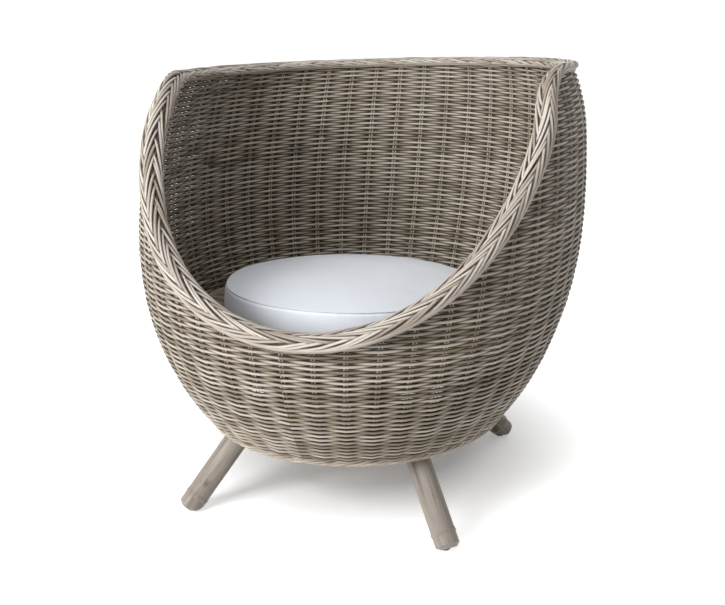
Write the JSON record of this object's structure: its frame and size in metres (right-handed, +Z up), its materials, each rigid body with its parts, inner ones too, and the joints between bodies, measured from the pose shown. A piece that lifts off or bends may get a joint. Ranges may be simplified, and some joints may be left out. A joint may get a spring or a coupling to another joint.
{
  "type": "woven egg chair",
  "caption": "Egg-shaped woven cane tub chair with a slanting plaited rim, a round seat cushion and splayed round pole legs.",
  "frame": {"origin": "on the floor, in the middle of the chair's outline from side to side and from front to back", "axes": "+Z up; the chair faces -Y; +X is to the right as the picture shows it, the sitter's left"},
  "size_m": [0.8598, 0.9638, 0.842],
  "materials": {
    "woven_cane": "weathered grey-beige round cane, woven, matte",
    "plaited_cane": "pale grey-beige round cane, plaited, matte",
    "peeled_pole": "peeled cane pole, matte",
    "leg_pole": "limewashed pole with brown streaks, satin",
    "rail_wood": "sawn hardwood, matte",
    "plated_steel": "zinc plated",
    "glide_plastic": "black, matte",
    "cushion_cloth": "white woven cotton, soft"
  },
  "bodies": {
    "chair": {"woven_shell": "woven_cane", "rim_border": "plaited_cane", "rim_hoop": "peeled_pole", "base_border": "woven_cane", "base_ring": "peeled_pole", "seat_ring": "peeled_pole", "seat_panel": "woven_cane", "rail_lower": "rail_wood", "rail_upper": "rail_wood", "seat_bearer_1": "peeled_pole", "seat_bearer_2": "peeled_pole", "seat_bearer_3": "peeled_pole", "seat_bearer_4": "peeled_pole", "seat_strut_1": "peeled_pole", "seat_strut_2": "peeled_pole", "seat_strut_3": "peeled_pole", "seat_strut_4": "peeled_pole", "seat_strut_5": "peeled_pole", "seat_strut_6": "peeled_pole", "seat_strut_7": "peeled_pole", "seat_strut_8": "peeled_pole", "leg_front_left": "leg_pole", "leg_front_right": "leg_pole", "leg_back_right": "leg_pole", "leg_back_left": "leg_pole", "leg_plate_front_left": "plated_steel", "leg_plate_front_right": "plated_steel", "leg_plate_back_right": "plated_steel", "leg_plate_back_left": "plated_steel", "hanger_bolt_front_left": "plated_steel", "hanger_bolt_front_right": "plated_steel", "hanger_bolt_back_right": "plated_steel", "hanger_bolt_back_left": "plated_steel", "glide_front_left": "glide_plastic", "glide_front_right": "glide_plastic", "glide_back_right": "glide_plastic", "glide_back_left": "glide_plastic"},
    "cushion": {"seat_cushion": "cushion_cloth"}
  },
  "joints": [
    {"name": "cushion_lift", "type": "slide", "parent": "chair", "child": "cushion", "axis": [0, 0, 1], "range_m": [0, 0.5]}
  ]
}
